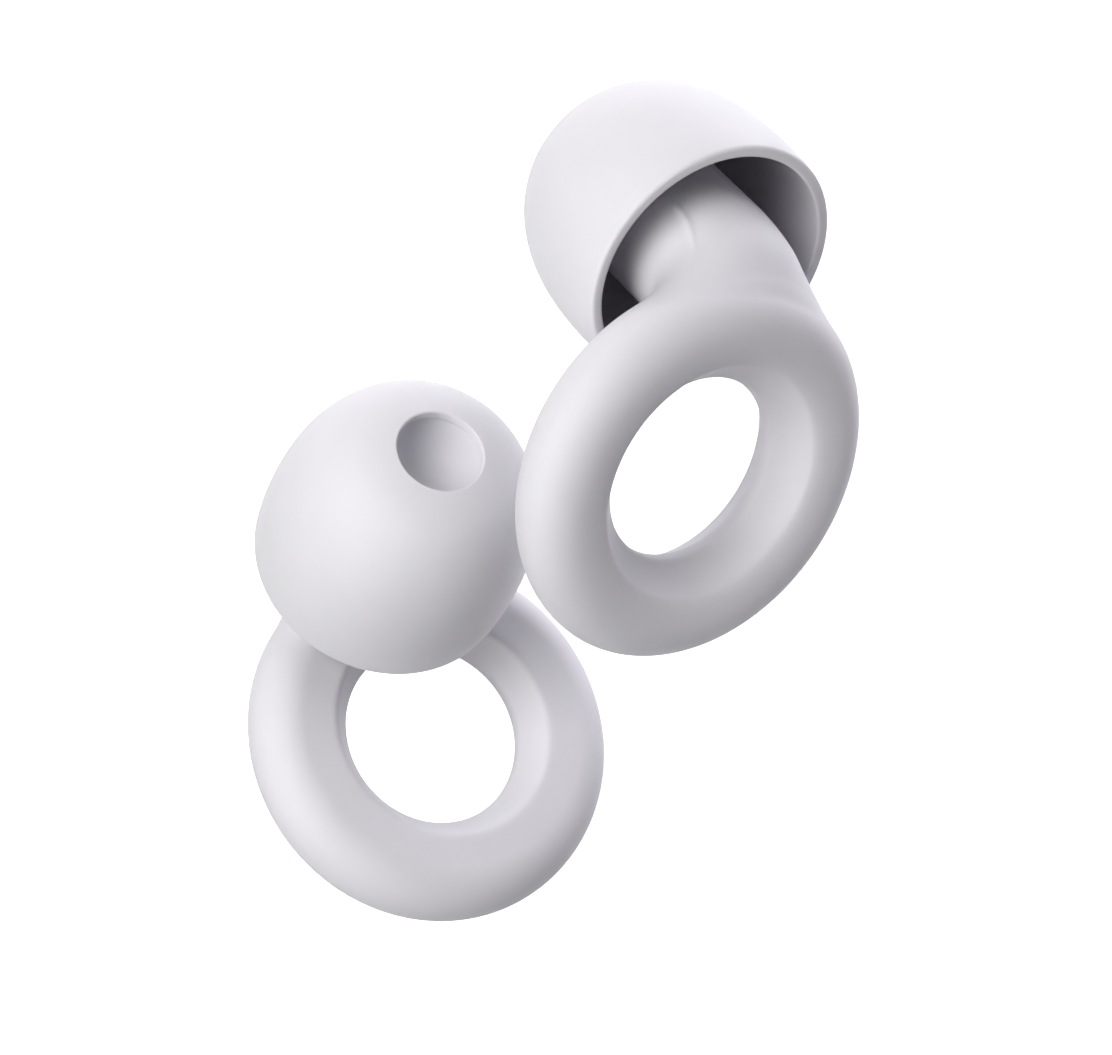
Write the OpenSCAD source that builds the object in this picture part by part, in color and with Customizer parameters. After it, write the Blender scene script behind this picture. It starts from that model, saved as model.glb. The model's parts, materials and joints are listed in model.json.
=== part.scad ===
// A pair of reusable ring-type ear plugs. Each plug is a moulded ring with a stem on its back,
// and a hollow bullet-shaped ear tip that pushes over the nozzle at the end of the stem.
// Millimetres. Z is up, and the pair lies on the plane Z = 0.
// A plug's own frame: the ring's centre at the origin, +Z out of the ring's front face,
// and +Y towards the side of the ring that carries the stem.

/* [Ring] */
// Outer radius of the ring
ring_r = 8; // [7.4:0.1:8.6]
// Radius of the crown, where the ring is thickest
crown_r = 6.2; // [5.9:0.1:6.4]
// Height of the crown in front of the ring's widest circle
crown_front = 1.55; // [1.3:0.05:1.8]
// Depth of the flat back behind the ring's widest circle
crown_back = 1.95; // [1.7:0.05:2.2]
// Radius of the narrowest part of the hole
throat_r = 3.9; // [3.5:0.05:4]
// Length of the straight wall in the throat
throat_len = 0.5; // [0.3:0.1:0.8]
// Radius of the crease round the front of the hole
front_mouth_r = 4.95; // [4.8:0.05:5.2]
// Height of that crease in front of the ring's widest circle
front_mouth_z = 1.2; // [1:0.05:1.25]
// Radius of the crease round the back of the hole
back_mouth_r = 4.75; // [4.5:0.05:5]

/* [Stem] */
// Distance from the ring's centre to the centre of the tip's rim, across the ring
rim_y = 7.35; // [7:0.05:7.6]
// Depth of the tip's rim behind the ring's widest circle
rim_z = 3.3; // [3.1:0.1:3.6]
// Lean of the stem and tip away from the ring's axis, in degrees
lean = 10; // [6:1:12]
// Radius of the stem
stem_r = 3; // [2.8:0.05:3.1]
// Height of the stem's shoulder above the tip's rim
shoulder_q = 4.6; // [4.4:0.1:4.8]
// Radius of the ball that blends the stem into the ring
blend_r = 2.05; // [1.9:0.05:2.1]
// Radius of the nozzle that carries the tip
nozzle_r = 2.15; // [2:0.05:2.2]
// Length of the nozzle above the shoulder
nozzle_len = 3.95; // [3.6:0.05:4]
// Depth of the dish in the nozzle's end
dish_depth = 1.4; // [1:0.1:1.5]
// Width of the rim left round the dish
dish_rim_w = 0.2; // [0.1:0.05:0.3]

/* [Ear tip] */
// Largest radius of the tip
tip_r = 5.6; // [5.4:0.1:5.8]
// Radius of the tip at its open rim
rim_r = 5.48; // [5.3:0.02:5.6]
// Height of the tip above its rim
tip_h = 9.1; // [9:0.1:9.6]
// Height of the tip's widest circle above its rim
widest_q = 1.8; // [1.4:0.1:2]
// Fullness of the nose, where 2 is an ellipse
fullness = 2.5; // [2.3:0.1:2.7]
// Thickness of the skirt
wall = 0.5; // [0.4:0.05:0.6]
// Extra thickness of the wall at the nose
nose_wall = 0.25; // [0.15:0.05:0.35]
// Radius of the hole in the nose
nose_hole_r = 1.8; // [1.6:0.05:1.9]
// Width of the lip round that hole
lip_w = 0.3; // [0.2:0.05:0.4]
// Clearance between the nozzle and the tip's core
fit_gap = 0.05; // [0.02:0.01:0.1]

/* [Pair] */
// Place of the first plug's ring centre
left_at = [-9.75, 7.75, 7.55]; // [-20:0.05:20]
// Turn of the first plug about X, then Y, then Z, in degrees
left_turn = [164.1, -68.5, 130.7]; // [-180:0.1:180]
// Place of the second plug's ring centre
right_at = [1.7, -7.85, 7.9]; // [-20:0.05:20]
// Turn of the second plug about X, then Y, then Z, in degrees
right_turn = [-37.1, 76.5, -151.5]; // [-180:0.1:180]

/* [Hidden] */
$fn = 96;
arc_steps = 12;
throat_mid_z = -0.35;
blend_at = [0, 6.8, -0.35];
core_foot_gap = 0.05;
nozzle_end_gap = 0.05;
core_bore_r = nozzle_r + fit_gap;
nozzle_end_q = shoulder_q + nozzle_len;
bore_end_q = nozzle_end_q + nozzle_end_gap;
lip_r = nose_hole_r + lip_w;
cavity_r = tip_r - wall;
nose_len = (tip_h - widest_q) / pow(1 - pow(lip_r / tip_r, fullness), 1 / fullness);
cavity_len = nose_len - wall - nose_wall;
roof_q = widest_q + cavity_len * pow(1 - pow(stem_r / cavity_r, fullness), 1 / fullness);

// Points along an ellipse with semi-axes a and b about [cx, cy]
function arc(cx, cy, a, b, from, to) =
    [for (i = [0:arc_steps]) let (t = from + (to - from) * i / arc_steps)
        [cx + a * cos(t), cy + b * sin(t)]];

// The same points in the opposite order
function reversed(points) = [for (i = [len(points) - 1:-1:0]) points[i]];

// Radius of a bullet-shaped nose of greatest radius r and length l, at height q above the rim
function nose_radius(q, r, l) = r * pow(1 - pow(max(q - widest_q, 0) / l, fullness), 1 / fullness);

// Points up a skirt and nose, from the rim at radius r0 to the height top
function bullet(r0, r, l, top) = concat(
    [for (i = [0:3]) let (s = i / 4) [r0 + (r - r0) * s * (2 - s), widest_q * s]],
    [for (i = [0:2 * arc_steps]) let (q = widest_q + (top - widest_q) * sin(90 * i / (2 * arc_steps)))
        [nose_radius(q, r, l), q]]);

// Section of the ring: outer side, rolled front edge, front funnel, throat and flared back mouth
function ring_section() =
    let (
        roll_end = 180 - asin(front_mouth_z / crown_front),
        roll_a = (front_mouth_r - crown_r) / cos(roll_end)
    ) concat(
        arc(crown_r, 0, ring_r - crown_r, crown_back, -90, 0),
        arc(crown_r, 0, ring_r - crown_r, crown_front, 7.5, 90),
        arc(crown_r, 0, roll_a, crown_front, 97.5, roll_end),
        [[throat_r, throat_mid_z + throat_len / 2], [throat_r, throat_mid_z - throat_len / 2]],
        [[back_mouth_r, -crown_back]]);

// Moves the tip's axis from Z to its place on the plug, with the rim's centre as its origin
module on_tip_axis() {
    translate([0, rim_y, -rim_z]) rotate([180 + lean, 0, 0]) children();
}

// Ring, blended neck, stem and nozzle: one moulding
module ring_stem() {
    color("lavender") difference() {
        union() {
            rotate_extrude() polygon(ring_section());
            translate(blend_at) sphere(r = blend_r);
            on_tip_axis() {
                translate([0, 0, -rim_z]) cylinder(h = rim_z, r1 = blend_r, r2 = stem_r);
                cylinder(h = shoulder_q, r = stem_r);
                cylinder(h = nozzle_end_q, r = nozzle_r);
            }
        }
        on_tip_axis() dish();
    }
}

// Dish in the nozzle's end, seen through the hole in the tip's nose
module dish() {
    mouth_r = nozzle_r - dish_rim_w;
    ball_r = (pow(mouth_r, 2) + pow(dish_depth, 2)) / (2 * dish_depth);
    translate([0, 0, nozzle_end_q - dish_depth + ball_r]) sphere(r = ball_r);
}

// Hollow bullet with a core tube that fits the nozzle and a hole in its nose
module ear_tip() {
    outside = bullet(rim_r, tip_r, nose_len, tip_h);
    inside = bullet(rim_r - wall, cavity_r, cavity_len, roof_q);
    core = [
        [stem_r, shoulder_q + core_foot_gap],
        [core_bore_r, shoulder_q + core_foot_gap],
        [core_bore_r, bore_end_q],
        [nose_hole_r, bore_end_q],
        [nose_hole_r, tip_h]
    ];
    color("ghostwhite") on_tip_axis() rotate_extrude()
        polygon(concat(outside, reversed(core), reversed(inside)));
}

module left_plug() {
    translate(left_at) rotate(left_turn) children();
}

module right_plug() {
    translate(right_at) rotate(right_turn) children();
}

left_plug() ring_stem();  // left_ring_stem
left_plug() ear_tip();  // left_ear_tip
right_plug() ring_stem();  // right_ring_stem
right_plug() ear_tip();  // right_ear_tip
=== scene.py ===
"""A pair of reusable ring-type ear plugs in soft matte silicone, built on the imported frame.

Shapes are worked out in millimetres in a plug's own frame: the ring's centre at the origin, +Z out
of the ring's front face and +Y towards the stem. Each plug's mesh is then placed by the frame's
mounts and joints, and handed to Blender in metres.
"""
import json
import math

import bpy
import numpy as np
from mathutils import Matrix, Vector


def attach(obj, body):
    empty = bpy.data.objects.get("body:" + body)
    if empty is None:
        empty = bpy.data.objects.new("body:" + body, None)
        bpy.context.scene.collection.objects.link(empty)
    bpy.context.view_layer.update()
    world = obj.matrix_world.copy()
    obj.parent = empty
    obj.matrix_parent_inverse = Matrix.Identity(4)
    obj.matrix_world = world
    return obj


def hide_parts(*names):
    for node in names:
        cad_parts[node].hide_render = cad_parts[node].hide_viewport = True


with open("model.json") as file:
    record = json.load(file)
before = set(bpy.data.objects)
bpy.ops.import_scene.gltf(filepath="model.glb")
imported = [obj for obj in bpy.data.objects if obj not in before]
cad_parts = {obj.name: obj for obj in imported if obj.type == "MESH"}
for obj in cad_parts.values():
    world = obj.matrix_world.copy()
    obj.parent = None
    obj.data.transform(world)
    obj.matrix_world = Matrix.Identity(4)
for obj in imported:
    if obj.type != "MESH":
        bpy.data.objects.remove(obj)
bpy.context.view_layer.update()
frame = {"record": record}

MM = 0.001

# Ring section, as radius and height
RING_R = 8.0
CROWN_R = 6.2
CROWN_FRONT = 1.55
CROWN_BACK = 1.95
THROAT_R = 3.9
THROAT_Z = -0.35
THROAT_LEN = 0.5
FRONT_MOUTH = (4.95, 1.2)
FRONT_ROLL = 0.46
BACK_MOUTH_R = 4.75
FRONT_CREASE = 0.08
THROAT_ROUND = 0.5
BACK_CREASE = 0.45

# Stem and nozzle, as radius and height q along the tip's axis above the tip's rim
RIM_Y = 7.35
RIM_Z = 3.3
LEAN = math.radians(10)
STEM_R = 3.0
SHOULDER_Q = 4.6
NOZZLE_R = 2.15
NOZZLE_END_Q = 8.55
DISH_DEPTH = 1.4
DISH_MOUTH_R = 1.95
NECK_TOP_Q = 0.6
NECK_END_Q = -3.4
NECK_TAPER = 0.064
NECK_POWER = 1.85
NECK_WIDE = 1.24
NECK_FRONT_Z = 0.6
NECK_FRONT_ROUND = 2.0

# Fillet between the neck and the ring: its size on the neck's sides, its outside and towards the
# ring's hole, and how it fades round the ring's section towards the front
FILLET_SIDE = 2.0
FILLET_OUTER = 1.4
FILLET_INNER = 0.7
FILLET_FRONT = math.radians(62)
FILLET_SPAN = math.radians(100)
FILLET_LEAST = 0.1

# Moulding line down the side of the stem: turn about the tip's axis and height at its two ends
SEAM_TURN = (math.radians(-143), math.radians(-162))
SEAM_Q = (1.3, -1.9)
SEAM_HEIGHT = 0.07
SEAM_WIDTH = 0.13
SEAM_FADE_IN = 5.0
SEAM_FADE_OUT = 2.5

# Ear tip
TIP_R = 5.6
TIP_RIM_R = 5.48
TIP_H = 9.1
WIDEST_Q = 1.8
FULLNESS = 2.5
WALL = 0.5
NOSE_WALL = 0.25
NOSE_HOLE_R = 1.8
NOSE_BEND_R = 3.6
NOSE_END_SLOPE = -0.25
LIP_W = 0.3
FIT_GAP = 0.05
RIM_ROUND = 0.16
RIM_INNER_ROUND = 0.12
NOSE_EDGE_ROUND = 0.07
SEAT_ROUND = 0.06
CORE_FOOT_ROUND = 0.15
# Painted shade deep in the ear tip's skirt: the height above the rim where it starts, and the rise
# over which it reaches full strength
PAINTED_SHADE_FROM_Q = 0.2
PAINTED_SHADE_SPAN_Q = 4.0

# Fineness of the meshes, and how a surface net settles on its surface
CELL = 0.12
LATHE_STEPS = 192
SETTLE_ROUNDS = 4
SETTLE_EASE = 0.5
PROBE = 0.02
LEAST_SLOPE = 0.2
NET_LOW = (-8.4, -8.4, -12.6)
NET_HIGH = (8.4, 12.2, 2.2)
TABLE_STEP = 0.04
TABLE_LOW = (0.0, -13.5)
RING_TABLE_HIGH = (16.0, 3.0)
STEM_TABLE_HIGH = (21.0, 9.5)

# Silicone
RING_TONES = ((0.69, 0.682, 0.722), (0.665, 0.657, 0.697))
TIP_TONES = ((0.70, 0.693, 0.73), (0.675, 0.668, 0.704))
# Painted shade: the darker colour the inside of the ear tip's skirt takes on, standing in for the
# shadow there
PAINTED_SHADE_TONE = (0.40, 0.39, 0.43)
MOTTLE_SCALE = 260
MOTTLE_BAND = (0.3, 0.7)
GRAIN_SCALE = 9000
GRAIN_HEIGHT = 0.01 * MM
GRAIN_STRENGTH = 0.12
ROUGHNESS = (0.5, 0.62)

# Camera and light
CAMERA_AZIMUTH = math.radians(-6.466)
CAMERA_ELEVATION = math.radians(47.939)
CAMERA_ROLL = math.radians(97.726)
CAMERA_DISTANCE = 140.9 * MM
CAMERA_TARGET = Vector((-0.631, -0.581, 8.0)) * MM
CAMERA_LENS = 111.93
LIGHT_DISTANCE = 0.34
NEUTRAL = (1.0, 0.995, 0.98)
COOL = (0.97, 0.95, 1.0)
BOUNCE_RADIANCE = 0.27
BOUNCE_WIDTH = 1.0
BOUNCE_Z = -0.1 * MM
FLOOR_REACH = 2.0
FLOOR_Z = -0.02 * MM
WORLD_STRENGTH = 0.01

TIP_AXIS = np.array([0, math.sin(LEAN), -math.cos(LEAN)])
TIP_SIDE = np.array([1.0, 0, 0])
TIP_UP = np.cross(TIP_AXIS, TIP_SIDE)
RIM_CENTRE = np.array([0, RIM_Y, -RIM_Z])


# ---------------------------------------------------------------- outlines

def unit(vector):
    """A vector scaled to a length of 1."""
    return vector / np.linalg.norm(vector)


def ellipse_arc(centre, a, b, start, end, steps):
    """Points along an ellipse, with angles in degrees."""
    t = np.radians(np.linspace(start, end, steps))
    return np.stack([centre[0] + a * np.cos(t), centre[1] + b * np.sin(t)], axis=1)


def corner_arc(before, corner, after, radius, steps):
    """Points along the arc of a given radius that rounds a corner between its two neighbours."""
    u = unit(before - corner)
    v = unit(after - corner)
    half = math.acos(np.clip(u @ v, -1, 1)) / 2
    reach = radius / math.tan(half)
    centre = corner + unit(u + v) * radius / math.sin(half)
    first = corner + u * reach - centre
    last = corner + v * reach - centre
    turn = math.atan2(first[0] * last[1] - first[1] * last[0], first @ last)
    points = []
    for s in np.linspace(0, 1, steps):
        c, d = math.cos(turn * s), math.sin(turn * s)
        points.append(centre + [first[0] * c - first[1] * d, first[0] * d + first[1] * c])
    return points


def rounded(points, radii, steps):
    """A closed outline with an arc of the given radius in place of each corner (0 leaves it)."""
    out = []
    for i, corner in enumerate(points):
        if radii[i] > 0:
            after = points[(i + 1) % len(points)]
            out += corner_arc(points[i - 1], corner, after, radii[i], steps)
        else:
            out.append(corner)
    return np.array(out)


def ring_section():
    """Closed outline of the ring's section: outside, rolled front, funnel, throat and flared back."""
    wide = RING_R - CROWN_R
    roll_z = CROWN_FRONT - FRONT_ROLL
    roll_end = 180 - math.degrees(math.asin((FRONT_MOUTH[1] - roll_z) / FRONT_ROLL))
    roll_a = (FRONT_MOUTH[0] - CROWN_R) / math.cos(math.radians(roll_end))
    outside = np.concatenate([
        ellipse_arc((CROWN_R, 0), wide, CROWN_BACK, -90, 0, steps=28)[:-1],
        ellipse_arc((CROWN_R, 0), wide, CROWN_FRONT, 0, 90, steps=28)[:-1],
        ellipse_arc((CROWN_R, roll_z), roll_a, FRONT_ROLL, 90, roll_end, steps=16)])
    hole = [
        (THROAT_R, THROAT_Z + THROAT_LEN / 2),
        (THROAT_R, THROAT_Z - THROAT_LEN / 2),
        (BACK_MOUTH_R, -CROWN_BACK)]
    radii = [0] * (len(outside) - 1) + [FRONT_CREASE, THROAT_ROUND, THROAT_ROUND, BACK_CREASE]
    return rounded(np.concatenate([outside, hole]), radii, steps=8)


def neck_radius(q):
    """Radius of the stem: straight inside the tip, and drawn in towards the ring."""
    return STEM_R - NECK_TAPER * np.maximum(NECK_TOP_Q - q, 0) ** NECK_POWER


def stem_section():
    """Closed outline of the stem and nozzle about the tip's axis, mirrored across the axis."""
    end_r = float(neck_radius(NECK_END_Q))
    ball = ellipse_arc((0, NECK_END_Q), end_r, end_r, -90, 0, steps=16)[:-1]
    neck_q = np.linspace(NECK_END_Q, NECK_TOP_Q, 30)
    neck = np.stack([neck_radius(neck_q), neck_q], axis=1)
    corners = [(STEM_R, SHOULDER_Q), (NOZZLE_R, SHOULDER_Q), (NOZZLE_R, NOZZLE_END_Q)]
    dish_r = (DISH_MOUTH_R ** 2 + DISH_DEPTH ** 2) / (2 * DISH_DEPTH)
    dish_q = NOZZLE_END_Q - DISH_DEPTH + dish_r
    dish_from = math.degrees(math.asin(DISH_MOUTH_R / dish_r)) - 90
    dish = ellipse_arc((0, dish_q), dish_r, dish_r, dish_from, -90, steps=24)
    side = np.concatenate([ball, neck, corners, dish])
    mirrored = side[1:-1][::-1] * [-1, 1]
    return np.concatenate([side, mirrored])


def nose_height(r, widest_r, length):
    """Height and slope of a nose's outline at radius r."""
    left = 1 - (r / widest_r) ** FULLNESS
    slope = -length / widest_r * (r / widest_r) ** (FULLNESS - 1) * left ** (1 / FULLNESS - 1)
    return WIDEST_Q + length * left ** (1 / FULLNESS), slope


def bend(start, slope, end, end_slope, steps):
    """Points along a smooth curve between two points with the given slopes, without its ends."""
    rise = end[1] - start[1] + slope * start[0] - end_slope * end[0]
    corner_r = rise / (slope - end_slope)
    corner = np.array([corner_r, start[1] + slope * (corner_r - start[0])])
    s = np.linspace(0, 1, steps)[1:-1, None]
    return (1 - s) ** 2 * np.array(start) + 2 * s * (1 - s) * corner + s ** 2 * np.array(end)


def bullet(rim_r, r, length, top, steps):
    """Points up a skirt and nose as radius and height, from the rim to the height top."""
    s = np.linspace(0, 1, 8)[:-1]
    skirt = np.stack([rim_r + (r - rim_r) * s * (2 - s), WIDEST_Q * s], axis=1)
    q = WIDEST_Q + (top - WIDEST_Q) * np.sin(np.linspace(0, math.pi / 2, steps))
    nose_r = r * (1 - ((q - WIDEST_Q) / length) ** FULLNESS) ** (1 / FULLNESS)
    return np.concatenate([skirt, np.stack([nose_r, q], axis=1)])


def tip_section():
    """Closed outline of the ear tip: outside, nose hole, core bore, core foot, roof and skirt."""
    lip_r = NOSE_HOLE_R + LIP_W
    nose_len = (TIP_H - WIDEST_Q) / (1 - (lip_r / TIP_R) ** FULLNESS) ** (1 / FULLNESS)
    bend_q, bend_slope = nose_height(NOSE_BEND_R, TIP_R, nose_len)
    nose_edge = (NOSE_HOLE_R, TIP_H)
    outside = np.concatenate([
        bullet(TIP_RIM_R, TIP_R, nose_len, bend_q, steps=64),
        bend((NOSE_BEND_R, bend_q), bend_slope, nose_edge, NOSE_END_SLOPE, steps=24)])
    cavity_r = TIP_R - WALL
    cavity_len = nose_len - WALL - NOSE_WALL
    roof_q, _ = nose_height(STEM_R, cavity_r, cavity_len)
    inside = bullet(TIP_RIM_R - WALL, cavity_r, cavity_len, roof_q, steps=48)[::-1]
    bore_r = NOZZLE_R + FIT_GAP
    bore_end = NOZZLE_END_Q + FIT_GAP
    foot = SHOULDER_Q + FIT_GAP
    core = [nose_edge, (NOSE_HOLE_R, bore_end), (bore_r, bore_end), (bore_r, foot), (STEM_R, foot)]
    radii = [RIM_ROUND] + [0] * (len(outside) - 1)
    radii += [NOSE_EDGE_ROUND, SEAT_ROUND, 0, 0, CORE_FOOT_ROUND]
    radii += [0] * (len(inside) - 1) + [RIM_INNER_ROUND]
    return rounded(np.concatenate([outside, core, inside]), radii, steps=6)


def painted_shade_depth(outline):
    """Painted shade at each point of the tip's outline: 0 outside and on the rim, rising to 1 in its
    skirt.
    """
    foot = (NOZZLE_R + FIT_GAP, SHOULDER_Q + FIT_GAP)
    cavity_from = np.flatnonzero(np.isclose(outline, foot).all(axis=1))[0]
    depth = np.clip((outline[:, 1] - PAINTED_SHADE_FROM_Q) / PAINTED_SHADE_SPAN_Q, 0, 1)
    depth[:cavity_from] = 0
    return depth


# ---------------------------------------------------------------- distance fields

def outline_distance(points, outline):
    """Signed distance from 2-D points to a closed outline, negative inside."""
    nearest = np.full(len(points), np.inf)
    inside = np.zeros(len(points), bool)
    for a, b in zip(outline, np.roll(outline, -1, axis=0)):
        edge = b - a
        rel = points - a
        s = np.clip(rel @ edge / (edge @ edge), 0, 1)
        nearest = np.minimum(nearest, ((rel - s[:, None] * edge) ** 2).sum(axis=1))
        spans = (a[1] > points[:, 1]) != (b[1] > points[:, 1])
        if spans.any():
            crossing = a[0] + (points[spans, 1] - a[1]) * edge[0] / edge[1]
            inside[spans] ^= points[spans, 0] < crossing
    return np.where(inside, -1, 1) * np.sqrt(nearest)


def distance_table(outline, high):
    """A quick stand-in for outline_distance: a grid of its values, read by bilinear interpolation."""
    n = np.ceil((np.array(high) - TABLE_LOW) / TABLE_STEP).astype(int) + 1
    axes = [TABLE_LOW[i] + TABLE_STEP * np.arange(n[i]) for i in (0, 1)]
    grid = np.stack(np.meshgrid(*axes, indexing="ij"), axis=-1)
    values = outline_distance(grid.reshape(-1, 2), outline).reshape(n)

    def look_up(points):
        at = (points - TABLE_LOW) / TABLE_STEP
        cell = np.clip(at.astype(int), 0, n - 2)
        u, v = np.clip(at - cell, 0, 1).T
        i, j = cell.T
        below = values[i, j] * (1 - u) + values[i + 1, j] * u
        above = values[i, j + 1] * (1 - u) + values[i + 1, j + 1] * u
        return below * (1 - v) + above * v

    return look_up


def ease(x):
    """Rises smoothly from 0 to 1 as x does."""
    x = np.clip(x, 0, 1)
    return x * x * (3 - 2 * x)


def smooth_min(a, b, k):
    """The lesser of two distances, with a fillet of size k where they meet."""
    h = np.clip(0.5 + 0.5 * (b - a) / k, 0, 1)
    return b * (1 - h) + a * h - k * h * (1 - h)


def about_tip(points):
    """Plug points as seen along the tip's axis: sideways, up and height q."""
    rel = points - RIM_CENTRE
    return rel @ TIP_SIDE, rel @ TIP_UP, rel @ TIP_AXIS


def neck_distance(points, stem):
    """Signed distance to the stem, widened sideways near the ring and cut short inside its front."""
    side, up, q = about_tip(points)
    widen = 1 + (NECK_WIDE - 1) * ease((NECK_TOP_Q - q) / (NECK_TOP_Q - NECK_END_Q))
    round_neck = stem(np.stack([np.hypot(side / widen, up), q], axis=1))
    return -smooth_min(-round_neck, NECK_FRONT_Z - points[:, 2], NECK_FRONT_ROUND)


def fillet_size(points, about_ring):
    """Size of the fillet between neck and ring near each point."""
    section_turn = np.arctan2(about_ring[:, 1], about_ring[:, 0] - CROWN_R)
    fade = FILLET_LEAST + (1 - FILLET_LEAST) * ease((FILLET_FRONT - section_turn) / FILLET_SPAN)
    side, up, _ = about_tip(points)
    outward = -up / np.hypot(side, up)
    far = np.where(outward > 0, FILLET_OUTER, FILLET_INNER)
    return fade * (FILLET_SIDE + (far - FILLET_SIDE) * ease(np.abs(outward)))


def seam_height(points):
    """How far the moulding line stands out of the stem near each point."""
    side, up, q = about_tip(points)
    along = (q - SEAM_Q[0]) / (SEAM_Q[1] - SEAM_Q[0])
    middle = SEAM_TURN[0] + (SEAM_TURN[1] - SEAM_TURN[0]) * np.clip(along, 0, 1) ** 2
    off = (np.arctan2(up, side) - middle) * STEM_R
    ends = np.clip(SEAM_FADE_IN * along, 0, 1) * np.clip(SEAM_FADE_OUT * (1 - along), 0, 1)
    return SEAM_HEIGHT * ends * np.exp(-(off / SEAM_WIDTH) ** 2)


def ring_stem_distance(points, ring, stem):
    """Signed distance to a ring with its stem, where ring and stem measure their outlines."""
    about_ring = np.stack([np.hypot(points[:, 0], points[:, 1]), points[:, 2]], axis=1)
    neck = neck_distance(points, stem)
    blended = smooth_min(ring(about_ring), neck, fillet_size(points, about_ring))
    return blended - seam_height(points)


# ---------------------------------------------------------------- meshes

def crossed_cells(values):
    """Which grid cells the zero surface crosses, and where on average it cuts their edges."""
    shape = values.shape
    total = np.zeros(tuple(n - 1 for n in shape) + (3,))
    count = np.zeros(tuple(n - 1 for n in shape))

    def at_corner(corner):
        return values[tuple(slice(corner[i], shape[i] - 1 + corner[i]) for i in range(3))]

    for a in np.ndindex(2, 2, 2):
        for axis in range(3):
            if a[axis]:
                continue
            b = tuple(a[i] + (i == axis) for i in range(3))
            va, vb = at_corner(a), at_corner(b)
            cut = (va < 0) != (vb < 0)
            s = np.where(cut, va / np.where(cut, va - vb, 1), 0)
            count += cut
            for i in range(3):
                total[..., i] += np.where(cut, a[i] + (s if i == axis else 0), 0)
    used = count > 0
    return used, total[used] / count[used][:, None]


def net_quads(inside, index):
    """A quad for each grid edge that the surface cuts, joining the four cells round it."""
    quads = []
    for axis in range(3):
        u, v = (axis + 1) % 3, (axis + 2) % 3
        first = [slice(1, n - 1) for n in inside.shape]
        second = list(first)
        first[axis] = slice(0, inside.shape[axis] - 1)
        second[axis] = slice(1, inside.shape[axis])
        a, b = inside[tuple(first)], inside[tuple(second)]
        at = np.stack(np.nonzero(a != b), axis=1)
        leaving = a[tuple(at.T)]
        at[:, u] += 1
        at[:, v] += 1
        around = []
        for du, dv in ((0, 0), (-1, 0), (-1, -1), (0, -1)):
            cell = at.copy()
            cell[:, u] += du
            cell[:, v] += dv
            around.append(index[tuple(cell.T)])
        quad = np.stack(around, axis=1)
        quad[~leaving] = quad[~leaving][:, ::-1]
        quads.append(quad)
    return np.concatenate(quads)


def surface_net(distance):
    """Vertices and quads of the zero surface of a distance function, by naive surface nets."""
    axes = [np.arange(lo, hi + CELL, CELL) for lo, hi in zip(NET_LOW, NET_HIGH)]
    grid = np.stack(np.meshgrid(*axes, indexing="ij"), axis=-1)
    values = distance(grid.reshape(-1, 3)).reshape(grid.shape[:3])
    used, offset = crossed_cells(values)
    index = np.full(used.shape, -1)
    index[used] = np.arange(used.sum())
    base = np.stack(np.nonzero(used), axis=1)
    return NET_LOW + CELL * (base + offset), net_quads(values < 0, index)


def slope_of(distance, points):
    """The gradient of a distance function, by central differences."""
    steps = PROBE * np.eye(3)
    rise = np.stack([distance(points + e) - distance(points - e) for e in steps], axis=1)
    return rise / (2 * PROBE)


def settle(verts, quads, quick, exact):
    """Evens out a net's vertices and puts them on the zero surface, exactly in the last round."""
    edges = np.concatenate([quads[:, [i, (i + 1) % 4]] for i in range(4)])
    start, end = np.concatenate([edges, edges[:, ::-1]]).T
    degree = np.bincount(start, minlength=len(verts))
    for i in range(SETTLE_ROUNDS):
        if i:
            mean = [np.bincount(start, verts[end, c], len(verts)) / degree for c in range(3)]
            verts = verts + SETTLE_EASE * (np.stack(mean, axis=1) - verts)
        value = exact(verts) if i == SETTLE_ROUNDS - 1 else quick(verts)
        slope = slope_of(quick, verts)
        steepness = np.maximum((slope ** 2).sum(axis=1), LEAST_SLOPE)
        verts = verts - slope * (value / steepness)[:, None]
    return verts


def ring_stem_shape():
    """Vertices and quads of one ring with its stem, in the plug's own frame."""
    ring, stem = ring_section(), stem_section()
    quick_ring = distance_table(ring, RING_TABLE_HIGH)
    quick_stem = distance_table(stem, STEM_TABLE_HIGH)

    def quick(points):
        return ring_stem_distance(points, quick_ring, quick_stem)

    def exact(points):
        return ring_stem_distance(
            points, lambda at: outline_distance(at, ring), lambda at: outline_distance(at, stem))

    verts, quads = surface_net(quick)
    return settle(verts, quads, quick, exact), quads


def lathe(outline):
    """Vertices and quads of a closed outline turned about the tip's axis, in the plug's own frame."""
    turn = np.linspace(0, 2 * math.pi, LATHE_STEPS, endpoint=False)
    spoke = np.cos(turn)[:, None] * TIP_SIDE + np.sin(turn)[:, None] * TIP_UP
    verts = RIM_CENTRE + spoke[:, None, :] * outline[None, :, :1] + outline[None, :, 1:] * TIP_AXIS
    n = len(outline)
    i, j = np.meshgrid(np.arange(LATHE_STEPS), np.arange(n), indexing="ij")
    i2, j2 = (i + 1) % LATHE_STEPS, (j + 1) % n
    quads = np.stack([i * n + j, i2 * n + j, i2 * n + j2, i * n + j2], axis=-1)
    return verts.reshape(-1, 3), quads.reshape(-1, 4)


def plug_place(side):
    """Rotation and ring centre (mm) of one plug, from its hole's mount and its tip's joint."""
    record = frame["record"]
    mount = next(m for m in record["mounts"] if m["name"] == side + "_ring_hole")
    joint = next(j for j in record["behaviour"]["joints"] if j["name"] == side + "_tip_pull")
    z = unit(np.array(mount["axis"]))
    pull = np.array(joint["axis"])
    y = unit(pull - (pull @ z) * z)
    turn = np.stack([np.cross(y, z), y, z], axis=1)
    centre = np.array(mount["pos_m"]) / MM - turn @ [0, 0, THROAT_Z]
    return turn, centre


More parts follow.
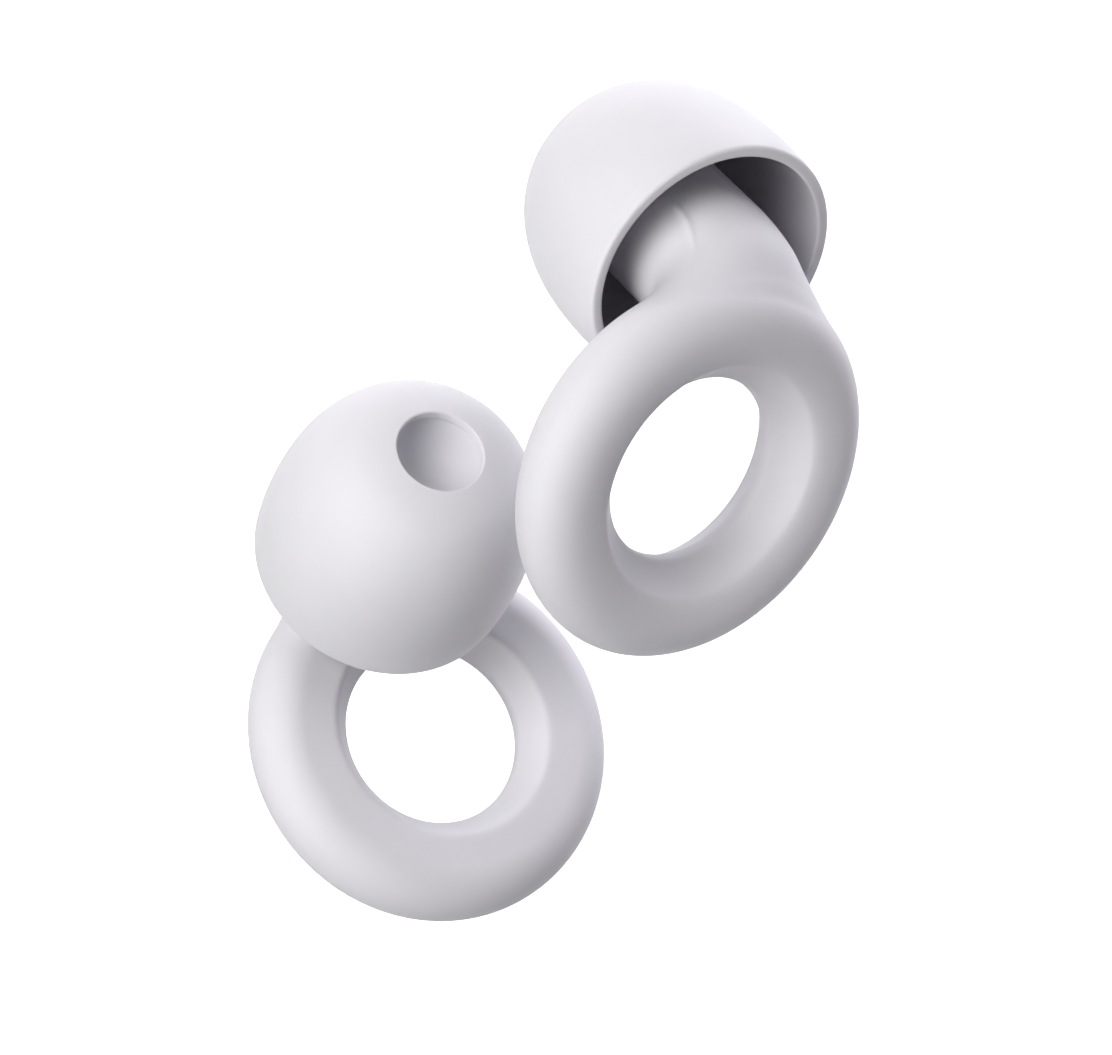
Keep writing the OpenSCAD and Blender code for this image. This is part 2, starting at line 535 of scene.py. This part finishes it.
def make_piece(name, shape, place, material, painted_shade=None):
    """A smooth-shaded mesh object from plug-frame vertices and quads.

    The last argument gives each vertex's depth inside the ear tip's skirt, for the painted shade of
    its material.
    """
    verts, quads = shape
    turn, centre = place
    world = (verts @ turn.T + centre) * MM
    mesh = bpy.data.meshes.new(name)
    mesh.from_pydata(world.tolist(), [], quads.tolist())
    mesh.validate()
    mesh.polygons.foreach_set("use_smooth", [True] * len(mesh.polygons))
    mesh.materials.append(material)
    # Stores the painted shade inside the ear tip's skirt as a point attribute
    if painted_shade is not None:
        mesh.attributes.new("painted_shade", "FLOAT", "POINT").data.foreach_set("value", painted_shade)
    piece = bpy.data.objects.new(name, mesh)
    bpy.context.collection.objects.link(piece)
    return piece


# ---------------------------------------------------------------- materials

def new_material(name):
    """A material with its shader, nodes and links."""
    material = bpy.data.materials.new(name)
    material.use_nodes = True
    nodes = material.node_tree.nodes
    return material, nodes["Principled BSDF"], nodes, material.node_tree.links


def noise(nodes, links, coord, scale, detail):
    """A noise factor in the object's own coordinates."""
    node = nodes.new("ShaderNodeTexNoise")
    node.inputs["Scale"].default_value = scale
    node.inputs["Detail"].default_value = detail
    links.new(coord.outputs["Object"], node.inputs["Vector"])
    return node.outputs["Fac"]


def remap(nodes, links, factor, low, high):
    """Maps a 0 to 1 factor onto low to high."""
    node = nodes.new("ShaderNodeMapRange")
    node.inputs["To Min"].default_value = low
    node.inputs["To Max"].default_value = high
    links.new(factor, node.inputs["Value"])
    return node.outputs["Result"]


def mottled(nodes, links, factor, light, dark):
    """A colour that drifts between two tones."""
    ramp = nodes.new("ShaderNodeValToRGB")
    for element, tone, position in zip(ramp.color_ramp.elements, (dark, light), MOTTLE_BAND):
        element.color = (*tone, 1)
        element.position = position
    links.new(factor, ramp.inputs["Fac"])
    return ramp.outputs["Color"]


def paint_shade_inside(nodes, links, colour, tone):
    """Mixes a colour towards a darker tone, by the mesh attribute that sets the painted shade."""
    depth = nodes.new("ShaderNodeAttribute")
    depth.attribute_name = "painted_shade"
    mix = nodes.new("ShaderNodeMix")
    mix.data_type = "RGBA"
    mix.inputs["B"].default_value = (*tone, 1)
    links.new(depth.outputs["Fac"], mix.inputs["Factor"])
    links.new(colour, mix.inputs["A"])
    return mix.outputs["Result"]


def silicone(name, tones, painted_shade_tone=None):
    """Matte moulded silicone: faint mottling, a fine moulded grain and a soft inner glow.

    With a shade tone, painted shade darkens the surface to that tone deep in the ear tip's skirt.
    """
    material, shader, nodes, links = new_material(name)
    coord = nodes.new("ShaderNodeTexCoord")
    light, dark = tones
    colour = mottled(nodes, links, noise(nodes, links, coord, MOTTLE_SCALE, 3), light, dark)
    # Painted shade inside the ear tip's skirt
    if painted_shade_tone:
        colour = paint_shade_inside(nodes, links, colour, painted_shade_tone)
    links.new(colour, shader.inputs["Base Color"])
    grain = noise(nodes, links, coord, GRAIN_SCALE, 4)
    links.new(remap(nodes, links, grain, *ROUGHNESS), shader.inputs["Roughness"])
    bump = nodes.new("ShaderNodeBump")
    bump.inputs["Strength"].default_value = GRAIN_STRENGTH
    bump.inputs["Distance"].default_value = GRAIN_HEIGHT
    links.new(grain, bump.inputs["Height"])
    links.new(bump.outputs["Normal"], shader.inputs["Normal"])
    shader.inputs["Subsurface Weight"].default_value = 0.15
    shader.inputs["Subsurface Radius"].default_value = (0.9, 0.85, 0.8)
    shader.inputs["Subsurface Scale"].default_value = 0.8 * MM
    shader.inputs["Specular IOR Level"].default_value = 0.22
    shader.inputs["Sheen Weight"].default_value = 0.04
    shader.inputs["Sheen Roughness"].default_value = 0.6
    return material


def floor_material():
    """A plain pale floor that glows, so that it stays white from every side."""
    material, shader, _, _ = new_material("pale_floor")
    shader.inputs["Base Color"].default_value = (0.9, 0.9, 0.9, 1)
    shader.inputs["Roughness"].default_value = 0.9
    shader.inputs["Emission Color"].default_value = (1, 1, 1, 1)
    shader.inputs["Emission Strength"].default_value = 1.0
    return material


# ---------------------------------------------------------------- camera, floor and light

def aim(obj, position, target, roll=0.0):
    """Puts an object at position with its -Z axis towards target and a roll about that axis."""
    look = (target - position).to_track_quat("-Z", "Y").to_matrix().to_4x4()
    obj.matrix_world = Matrix.Translation(position) @ look @ Matrix.Rotation(-roll, 4, "Z")


def make_camera():
    """The photograph's point of view."""
    out = math.cos(CAMERA_ELEVATION)
    back = Vector((-math.sin(CAMERA_AZIMUTH) * out, -math.cos(CAMERA_AZIMUTH) * out,
                   math.sin(CAMERA_ELEVATION)))
    camera = bpy.data.objects.new("camera", bpy.data.cameras.new("camera"))
    bpy.context.collection.objects.link(camera)
    camera.data.lens = CAMERA_LENS
    camera.data.clip_start = 0.005
    camera.data.clip_end = 10
    aim(camera, CAMERA_TARGET + back * CAMERA_DISTANCE, CAMERA_TARGET, CAMERA_ROLL)
    bpy.context.scene.camera = camera
    return camera


def new_light(name, shape, size, power, colour):
    """An area light that the camera doesn't see."""
    light = bpy.data.objects.new(name, bpy.data.lights.new(name, "AREA"))
    light.data.shape = shape
    light.data.size = size
    light.data.energy = power
    light.data.color = colour
    light.visible_camera = False
    bpy.context.collection.objects.link(light)
    return light


def soft_light(camera, name, tilt, turn, size, power, colour=NEUTRAL):
    """A soft round panel aimed at the object, with its size in metres and its power in watts.

    tilt is its angle away from the camera's side, and turn the way it lies in the picture, in
    degrees from the picture's right towards its top.
    """
    tilt, turn = math.radians(tilt), math.radians(turn)
    across = Vector((math.cos(turn), math.sin(turn), 0)) * math.sin(tilt)
    towards = camera.matrix_world.to_3x3() @ (across + Vector((0, 0, math.cos(tilt))))
    light = new_light(name, "DISK", size, power, colour)
    aim(light, CAMERA_TARGET + towards * LIGHT_DISTANCE, CAMERA_TARGET)


def bounce_light():
    """The glow of the pale floor on the object's underside, as a wide panel just under the floor."""
    power = math.pi * BOUNCE_RADIANCE * BOUNCE_WIDTH * BOUNCE_WIDTH
    light = new_light("bounce", "SQUARE", BOUNCE_WIDTH, power, COOL)
    light.location.z = BOUNCE_Z
    light.rotation_euler.x = math.pi


def make_floor():
    """The floor. Lights below it shine through, and its own glow doesn't reach the object."""
    r = FLOOR_REACH
    mesh = bpy.data.meshes.new("floor")
    mesh.from_pydata([(-r, -r, 0), (r, -r, 0), (r, r, 0), (-r, r, 0)], [], [(0, 1, 2, 3)])
    mesh.materials.append(floor_material())
    floor = bpy.data.objects.new("floor", mesh)
    floor.location.z = FLOOR_Z
    floor.visible_diffuse = False
    floor.visible_shadow = False
    bpy.context.collection.objects.link(floor)


def make_world():
    """A nearly dark studio."""
    world = bpy.data.worlds.new("studio")
    world.use_nodes = True
    background = world.node_tree.nodes["Background"]
    background.inputs["Color"].default_value = (1, 1, 1, 1)
    background.inputs["Strength"].default_value = WORLD_STRENGTH
    bpy.context.scene.world = world


# ---------------------------------------------------------------- scene

ring_silicone = silicone("ring_silicone", RING_TONES)
# The ear tip's silicone also paints shade deep inside its skirt
tip_silicone = silicone("tip_silicone", TIP_TONES, PAINTED_SHADE_TONE)
ring_stem = ring_stem_shape()
tip_outline = tip_section()
ear_tip = lathe(tip_outline)
# Painted shade inside the ear tip's skirt, darker with depth, for each vertex of the lathed tip
tip_painted_shade = np.tile(painted_shade_depth(tip_outline), LATHE_STEPS)

for side in ("left", "right"):
    place = plug_place(side)
    ring_piece = make_piece(side + "_ring_with_stem", ring_stem, place, ring_silicone)
    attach(ring_piece, side + "_ring")
    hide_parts(side + "_ring_stem")
    tip_piece = make_piece(side + "_hollow_tip", ear_tip, place, tip_silicone, tip_painted_shade)
    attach(tip_piece, side + "_tip")
    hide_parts(side + "_ear_tip")

camera = make_camera()
make_floor()
make_world()
soft_light(camera, "key", 36, 170, 0.30, 0.80)
soft_light(camera, "key_low", 52, 225, 0.20, 0.45)
soft_light(camera, "key_in", 28, 150, 0.18, 0.37)
soft_light(camera, "top", 60, 90, 0.22, 0.16)
soft_light(camera, "rim_right", 110, 25, 0.26, 0.56, COOL)
soft_light(camera, "rim_corner", 112, 68, 0.26, 0.64, COOL)
soft_light(camera, "rim_top", 118, 112, 0.26, 0.34, COOL)
bounce_light()
bpy.context.scene.view_settings.view_transform = "Standard"

bpy.context.view_layer.update()
